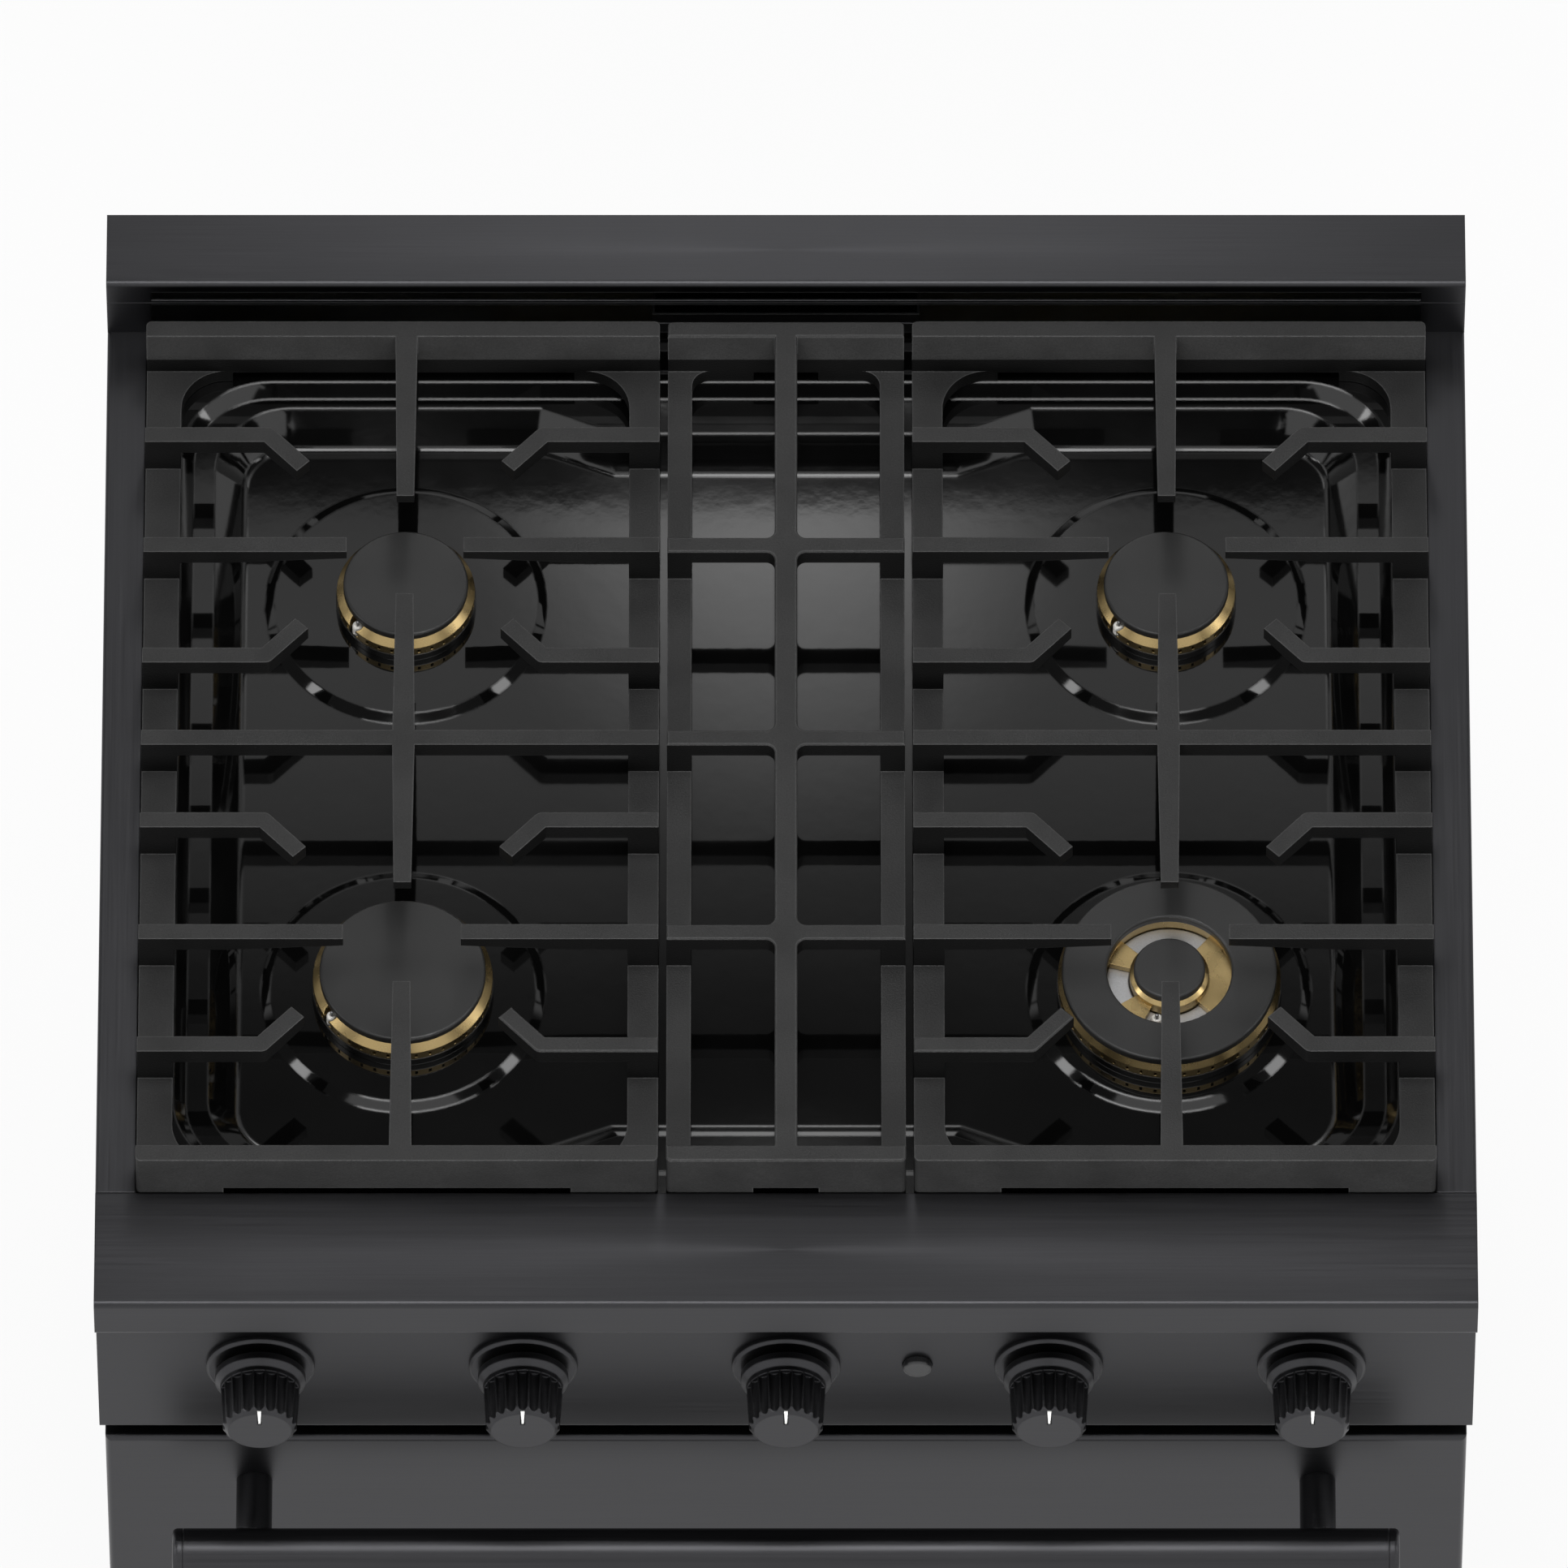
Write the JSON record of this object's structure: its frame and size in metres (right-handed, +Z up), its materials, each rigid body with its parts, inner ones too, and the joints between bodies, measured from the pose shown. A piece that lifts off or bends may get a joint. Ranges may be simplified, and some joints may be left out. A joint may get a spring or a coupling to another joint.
{
  "type": "freestanding gas range",
  "caption": "Freestanding gas range with continuous cast grates over sealed brass burners in a stepped pan, push-turn knobs and a drop-down oven door over sliding racks.",
  "frame": {"origin": "on the floor, in the middle of the footprint", "axes": "+X to the right as seen from the front, +Y to the back, +Z up"},
  "size_m": [0.76, 0.733, 0.962],
  "materials": {
    "black_stainless": "satin",
    "black_painted_steel": "satin",
    "galvanised_steel": "satin",
    "black_enamel": "gloss",
    "oven_enamel": "gloss",
    "cast_iron": "matte",
    "cap_enamel": "matte",
    "satin_brass": "satin",
    "valve_brass": "satin",
    "cast_aluminium": "satin",
    "plain_steel": "satin",
    "chromed_wire": "polished",
    "white_ceramic": "satin",
    "clear_glass": "gloss",
    "lamp_glass": "gloss",
    "mineral_wool": "matte",
    "woven_gasket": "matte",
    "black_plastic": "matte",
    "button_plastic": "gloss"
  },
  "bodies": {
    "range": {"back_panel": "galvanised_steel", "backguard": "black_stainless", "bake_burner": "plain_steel", "base_pan": "galvanised_steel", "broil_burner": "plain_steel", "burner_bases": "black_enamel", "burner_caps": "cap_enamel", "burner_dish": "cast_aluminium", "burner_heads": "satin_brass", "burner_igniters": "white_ceramic", "burner_tubes": "cast_aluminium", "control_panel": "black_stainless", "cooktop_pan": "black_enamel", "door_gasket": "woven_gasket", "flue_duct": "galvanised_steel", "front_ledge": "black_stainless", "gas_manifold": "plain_steel", "gas_regulator": "cast_aluminium", "gas_supply_pipe": "plain_steel", "gas_valves": "valve_brass", "hinge_brackets": "black_painted_steel", "kick_plate": "black_stainless", "knob_bezels": "black_stainless", "leg_sleeves": "black_painted_steel", "light_switch": "black_plastic", "oven_floor": "oven_enamel", "oven_insulation": "mineral_wool", "oven_lamp": "lamp_glass", "oven_liner": "oven_enamel", "rack_guides": "chromed_wire", "side_panel_left": "black_painted_steel", "side_panel_right": "black_painted_steel", "side_trims": "black_stainless", "spark_module": "black_plastic"},
    "door": {"door_skin": "black_stainless", "door_liner": "oven_enamel", "door_glass": "clear_glass", "door_insulation": "mineral_wool", "door_handle": "black_stainless", "hinge_arms": "black_painted_steel"},
    "push_rear_left": {"push_collar_rear_left": "valve_brass"},
    "knob_rear_left": {"knob_rear_left": "black_stainless"},
    "push_front_left": {"push_collar_front_left": "valve_brass"},
    "knob_front_left": {"knob_front_left": "black_stainless"},
    "push_oven": {"push_collar_oven": "valve_brass"},
    "knob_oven": {"knob_oven": "black_stainless"},
    "push_front_right": {"push_collar_front_right": "valve_brass"},
    "knob_front_right": {"knob_front_right": "black_stainless"},
    "push_rear_right": {"push_collar_rear_right": "valve_brass"},
    "knob_rear_right": {"knob_rear_right": "black_stainless"},
    "light_button": {"light_button": "button_plastic"},
    "grate_left": {"grate_left": "cast_iron"},
    "grate_centre": {"grate_centre": "cast_iron"},
    "grate_right": {"grate_right": "cast_iron"},
    "rack_lower": {"rack_lower": "chromed_wire"},
    "rack_upper": {"rack_upper": "chromed_wire"},
    "foot_front_left": {"foot_front_left": "plain_steel"},
    "foot_front_right": {"foot_front_right": "plain_steel"},
    "foot_rear_left": {"foot_rear_left": "plain_steel"},
    "foot_rear_right": {"foot_rear_right": "plain_steel"}
  },
  "joints": [
    {"name": "door_hinge", "type": "hinge", "parent": "range", "child": "door", "pos_m": [0, -0.2935, 0.219], "axis": [1, 0, 0], "range_deg": [0, 88]},
    {"name": "knob_rear_left_push", "type": "slide", "parent": "range", "child": "push_rear_left", "axis": [0, 1, 0], "range_m": [0, 0.003], "stiffness_N_per_m": 1000},
    {"name": "knob_rear_left_turn", "type": "hinge", "parent": "push_rear_left", "child": "knob_rear_left", "pos_m": [-0.29, -0.309, 0.818], "axis": [0, -1, 0], "range_deg": [0, 270]},
    {"name": "knob_front_left_push", "type": "slide", "parent": "range", "child": "push_front_left", "axis": [0, 1, 0], "range_m": [0, 0.003], "stiffness_N_per_m": 1000},
    {"name": "knob_front_left_turn", "type": "hinge", "parent": "push_front_left", "child": "knob_front_left", "pos_m": [-0.145, -0.309, 0.818], "axis": [0, -1, 0], "range_deg": [0, 270]},
    {"name": "knob_oven_push", "type": "slide", "parent": "range", "child": "push_oven", "axis": [0, 1, 0], "range_m": [0, 0.003], "stiffness_N_per_m": 1000},
    {"name": "knob_oven_turn", "type": "hinge", "parent": "push_oven", "child": "knob_oven", "pos_m": [0, -0.309, 0.818], "axis": [0, -1, 0], "range_deg": [0, 270]},
    {"name": "knob_front_right_push", "type": "slide", "parent": "range", "child": "push_front_right", "axis": [0, 1, 0], "range_m": [0, 0.003], "stiffness_N_per_m": 1000},
    {"name": "knob_front_right_turn", "type": "hinge", "parent": "push_front_right", "child": "knob_front_right", "pos_m": [0.145, -0.309, 0.818], "axis": [0, -1, 0], "range_deg": [0, 270]},
    {"name": "knob_rear_right_push", "type": "slide", "parent": "range", "child": "push_rear_right", "axis": [0, 1, 0], "range_m": [0, 0.003], "stiffness_N_per_m": 1000},
    {"name": "knob_rear_right_turn", "type": "hinge", "parent": "push_rear_right", "child": "knob_rear_right", "pos_m": [0.29, -0.309, 0.818], "axis": [0, -1, 0], "range_deg": [0, 270]},
    {"name": "light_button_press", "type": "slide", "parent": "range", "child": "light_button", "axis": [0, 1, 0], "range_m": [0, 0.0025], "stiffness_N_per_m": 800},
    {"name": "grate_left_lift", "type": "slide", "parent": "range", "child": "grate_left", "axis": [0, 0, 1], "range_m": [0, 0.08]},
    {"name": "grate_centre_lift", "type": "slide", "parent": "range", "child": "grate_centre", "axis": [0, 0, 1], "range_m": [0, 0.08]},
    {"name": "grate_right_lift", "type": "slide", "parent": "range", "child": "grate_right", "axis": [0, 0, 1], "range_m": [0, 0.08]},
    {"name": "rack_lower_slide", "type": "slide", "parent": "range", "child": "rack_lower", "axis": [0, 1, 0], "range_m": [-0.025, 0]},
    {"name": "rack_upper_slide", "type": "slide", "parent": "range", "child": "rack_upper", "axis": [0, 1, 0], "range_m": [-0.025, 0]},
    {"name": "foot_front_left_level", "type": "slide", "parent": "range", "child": "foot_front_left", "axis": [0, 0, 1], "range_m": [-0.03, 0]},
    {"name": "foot_front_right_level", "type": "slide", "parent": "range", "child": "foot_front_right", "axis": [0, 0, 1], "range_m": [-0.03, 0]},
    {"name": "foot_rear_left_level", "type": "slide", "parent": "range", "child": "foot_rear_left", "axis": [0, 0, 1], "range_m": [-0.03, 0]},
    {"name": "foot_rear_right_level", "type": "slide", "parent": "range", "child": "foot_rear_right", "axis": [0, 0, 1], "range_m": [-0.03, 0]}
  ]
}
